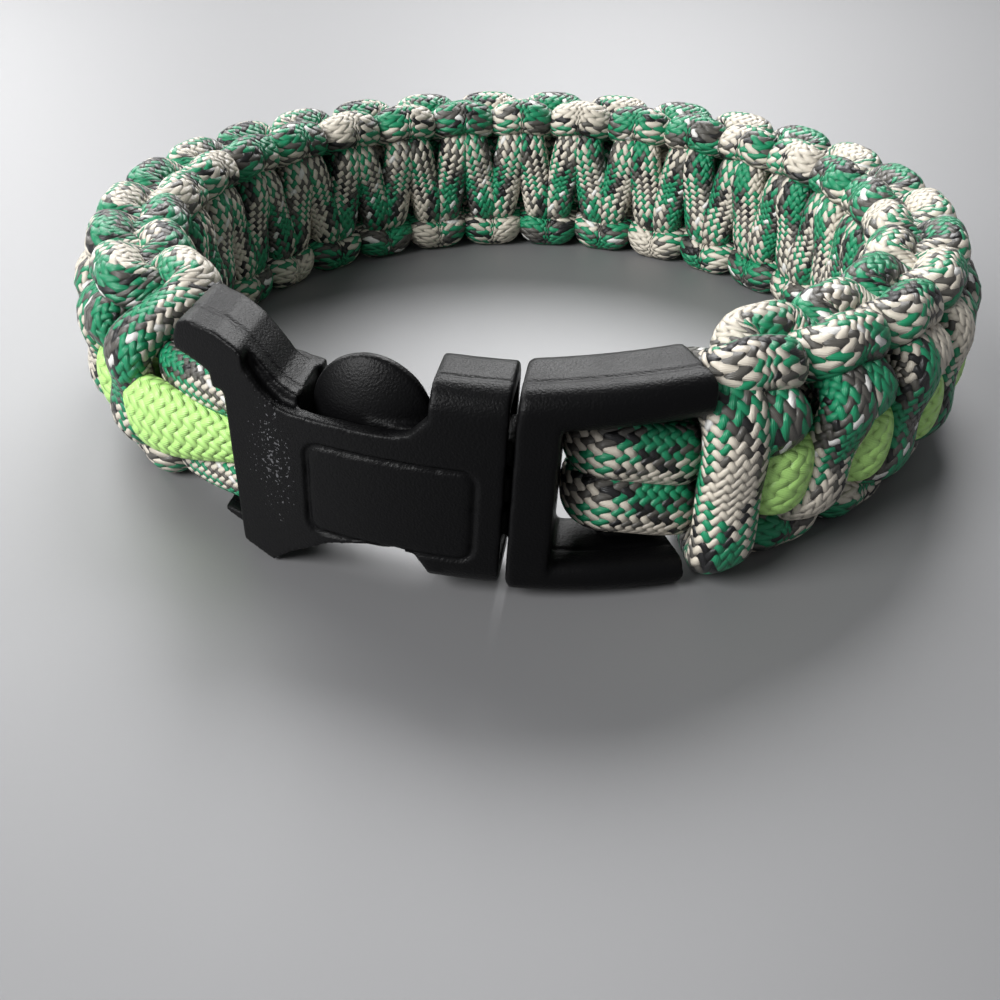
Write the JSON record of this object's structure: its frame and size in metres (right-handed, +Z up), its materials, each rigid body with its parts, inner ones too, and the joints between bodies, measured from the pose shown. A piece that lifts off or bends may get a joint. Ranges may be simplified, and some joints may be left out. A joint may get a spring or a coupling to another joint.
{
  "type": "paracord bracelet",
  "caption": "Braided cord bracelet in a bar of square knots with a coloured accent cord, closed by a contoured side release buckle that has a whistle mouthpiece.",
  "frame": {"origin": "on the ring's axis, at the plane that the bracelet lies on", "axes": "+Z up along the ring's axis, through the wrist hole; the buckle faces -Y and its prongs point to -X"},
  "size_m": [0.0764, 0.0761, 0.0168],
  "materials": {
    "buckle_plastic": "fine grained black, soft sheen",
    "camo_cord": "braided nylon sheath of green, tan, grey and black yarns",
    "neon_cord": "braided nylon sheath, light neon green"
  },
  "bodies": {
    "root": {"whistle_body": "buckle_plastic", "prong_clip": "buckle_plastic", "core_cord_upper": "camo_cord", "core_cord_lower": "camo_cord", "accent_cord": "neon_cord", "knot_cord_front": "camo_cord", "knot_cord_back": "camo_cord"}
  },
  "joints": []
}
